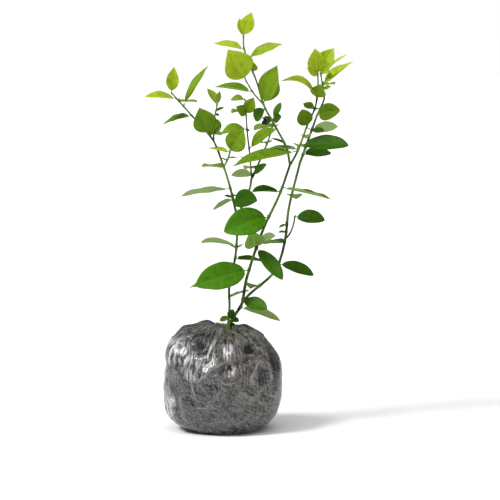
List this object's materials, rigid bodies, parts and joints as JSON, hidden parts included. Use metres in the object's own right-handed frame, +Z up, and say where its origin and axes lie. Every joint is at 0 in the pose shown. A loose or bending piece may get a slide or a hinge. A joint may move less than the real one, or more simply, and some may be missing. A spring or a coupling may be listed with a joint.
{
  "type": "young blueberry bush with a film-wrapped root ball",
  "caption": "Young blueberry bush with thin green stems and oval leaves, growing out of a root ball that is wrapped in crinkled black film and stands on its flat underside.",
  "frame": {"origin": "centre of the flat underside of the wrapped root ball", "axes": "+Z up along the stems, +Y away from the front, +X to the right as seen from the front"},
  "size_m": [0.2102, 0.1422, 0.4166],
  "materials": {
    "film": "thin black film, crinkled and glossy",
    "peat": "moist peat full of roots, matt",
    "green_bark": "smooth young green bark, satin",
    "old_leaf": "smooth mid-green leaf, satin",
    "young_leaf": "smooth lime-green leaf, satin"
  },
  "bodies": {
    "root": {"film_wrap": "film", "root_ball": "peat", "foot": "green_bark", "left_stem": "green_bark", "middle_stem": "green_bark", "right_stem": "green_bark", "back_stem": "green_bark", "left_stem_leaf_1": "old_leaf", "left_stem_leaf_2": "old_leaf", "left_stem_leaf_3": "old_leaf", "left_stem_leaf_4": "old_leaf", "left_stem_leaf_5": "old_leaf", "left_stem_leaf_6": "old_leaf", "middle_stem_leaf_1": "old_leaf", "middle_stem_leaf_2": "old_leaf", "middle_stem_leaf_3": "old_leaf", "middle_stem_leaf_4": "old_leaf", "middle_stem_leaf_5": "old_leaf", "middle_stem_leaf_6": "old_leaf", "middle_stem_leaf_7": "old_leaf", "middle_stem_leaf_8": "old_leaf", "middle_stem_leaf_9": "old_leaf", "middle_stem_leaf_10": "old_leaf", "middle_stem_leaf_11": "old_leaf", "right_stem_leaf_1": "old_leaf", "right_stem_leaf_2": "old_leaf", "right_stem_leaf_3": "old_leaf", "right_stem_leaf_4": "old_leaf", "right_stem_leaf_5": "old_leaf", "right_stem_leaf_6": "old_leaf", "back_shoot": "young_leaf", "centre_shoot": "young_leaf", "inner_right_shoot": "young_leaf", "left_shoot": "young_leaf", "right_shoot": "young_leaf", "right_side_twig": "young_leaf"}
  },
  "joints": []
}
